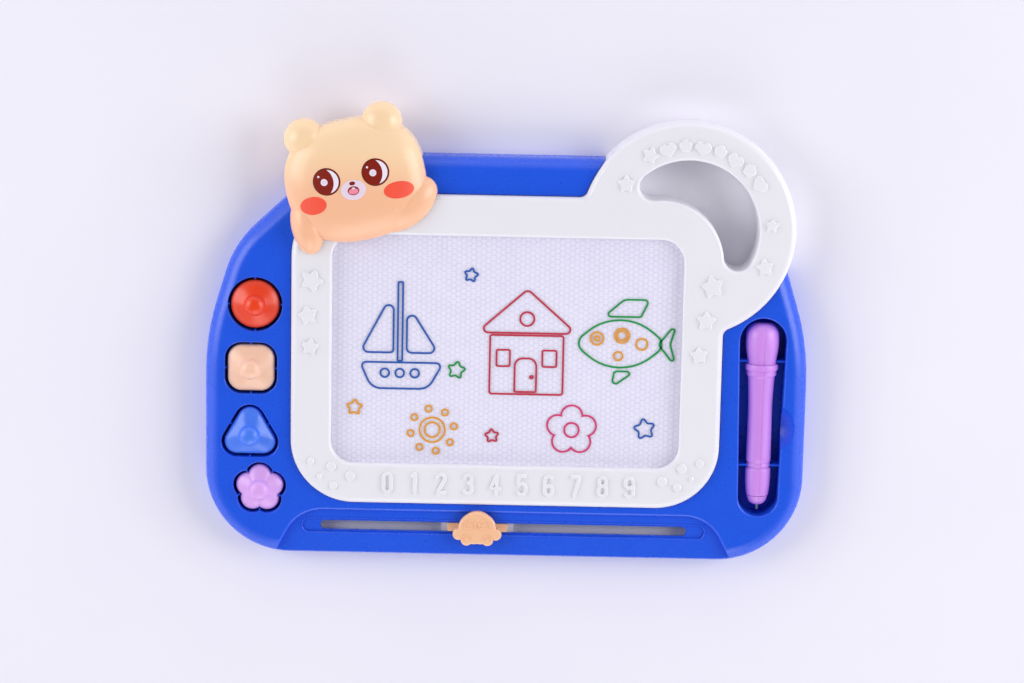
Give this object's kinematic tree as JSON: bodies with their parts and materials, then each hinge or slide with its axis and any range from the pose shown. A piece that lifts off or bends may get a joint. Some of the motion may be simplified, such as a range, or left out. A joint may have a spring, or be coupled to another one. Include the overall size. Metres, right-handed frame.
{
  "type": "magnetic drawing board",
  "caption": "Children's magnetic drawing board with ring handle, shaped magnetic stamps, captive-slot eraser, pen in a trough and a bear on one corner.",
  "frame": {"origin": "centre of the bounding box on the plane that the board rests on", "axes": "+Z out of the drawing face, +Y toward the edge with the handle, +X to the side with the pen"},
  "size_m": [0.3626, 0.2776, 0.0386],
  "materials": {
    "blue_housing": "moulded gloss ABS",
    "white_shell": "moulded gloss ABS",
    "peach_shell": "moulded gloss ABS",
    "red_stamp": "moulded gloss ABS",
    "lilac_shell": "moulded gloss ABS",
    "clear_sheet": "smooth clear PET sheet over a pale core",
    "pale_core": "matt honeycomb core",
    "dark_magnet": "bonded ferrite",
    "plated_steel": "zinc plated"
  },
  "bodies": {
    "board": {"rear_cover": "white_shell", "front_tray": "blue_housing", "white_frame": "white_shell", "screen_face": "clear_sheet", "honeycomb_core": "pale_core", "screen_back": "pale_core", "printed_film": "clear_sheet", "bear_head": "peach_shell", "bear_screw_1": "plated_steel", "bear_screw_2": "plated_steel", "cover_screw_1": "plated_steel", "cover_screw_2": "plated_steel", "cover_screw_3": "plated_steel", "cover_screw_4": "plated_steel", "cover_screw_5": "plated_steel", "cover_screw_6": "plated_steel", "cover_screw_7": "plated_steel", "cover_screw_8": "plated_steel", "cover_screw_9": "plated_steel", "handle_screw_1": "plated_steel", "handle_screw_2": "plated_steel", "handle_screw_3": "plated_steel", "frame_screw_1": "plated_steel", "frame_screw_2": "plated_steel", "frame_screw_3": "plated_steel", "frame_screw_4": "plated_steel"},
    "eraser": {"slider_knob": "peach_shell", "slider_screw": "plated_steel", "eraser_arm": "white_shell", "eraser_magnet": "dark_magnet"},
    "pen": {"pen_cap": "lilac_shell", "pen_barrel": "lilac_shell", "pen_tip": "lilac_shell", "pen_nib": "plated_steel"},
    "round_stamp": {"round_stamp": "red_stamp", "round_stamp_magnet": "dark_magnet"},
    "square_stamp": {"square_stamp": "peach_shell", "square_stamp_magnet": "dark_magnet"},
    "triangle_stamp": {"triangle_stamp": "blue_housing", "triangle_stamp_magnet": "dark_magnet"},
    "flower_stamp": {"flower_stamp": "lilac_shell", "flower_stamp_magnet": "dark_magnet"}
  },
  "joints": [
    {"name": "eraser_slide", "type": "slide", "parent": "board", "child": "eraser", "axis": [1, 0, 0], "range_m": [-0.075, 0.1065]},
    {"name": "pen_lift", "type": "slide", "parent": "board", "child": "pen", "axis": [0, 0, 1], "range_m": [0, 0.05]},
    {"name": "round_stamp_lift", "type": "slide", "parent": "board", "child": "round_stamp", "axis": [0, 0, 1], "range_m": [0, 0.04]},
    {"name": "square_stamp_lift", "type": "slide", "parent": "board", "child": "square_stamp", "axis": [0, 0, 1], "range_m": [0, 0.04]},
    {"name": "triangle_stamp_lift", "type": "slide", "parent": "board", "child": "triangle_stamp", "axis": [0, 0, 1], "range_m": [0, 0.04]},
    {"name": "flower_stamp_lift", "type": "slide", "parent": "board", "child": "flower_stamp", "axis": [0, 0, 1], "range_m": [0, 0.04]}
  ]
}
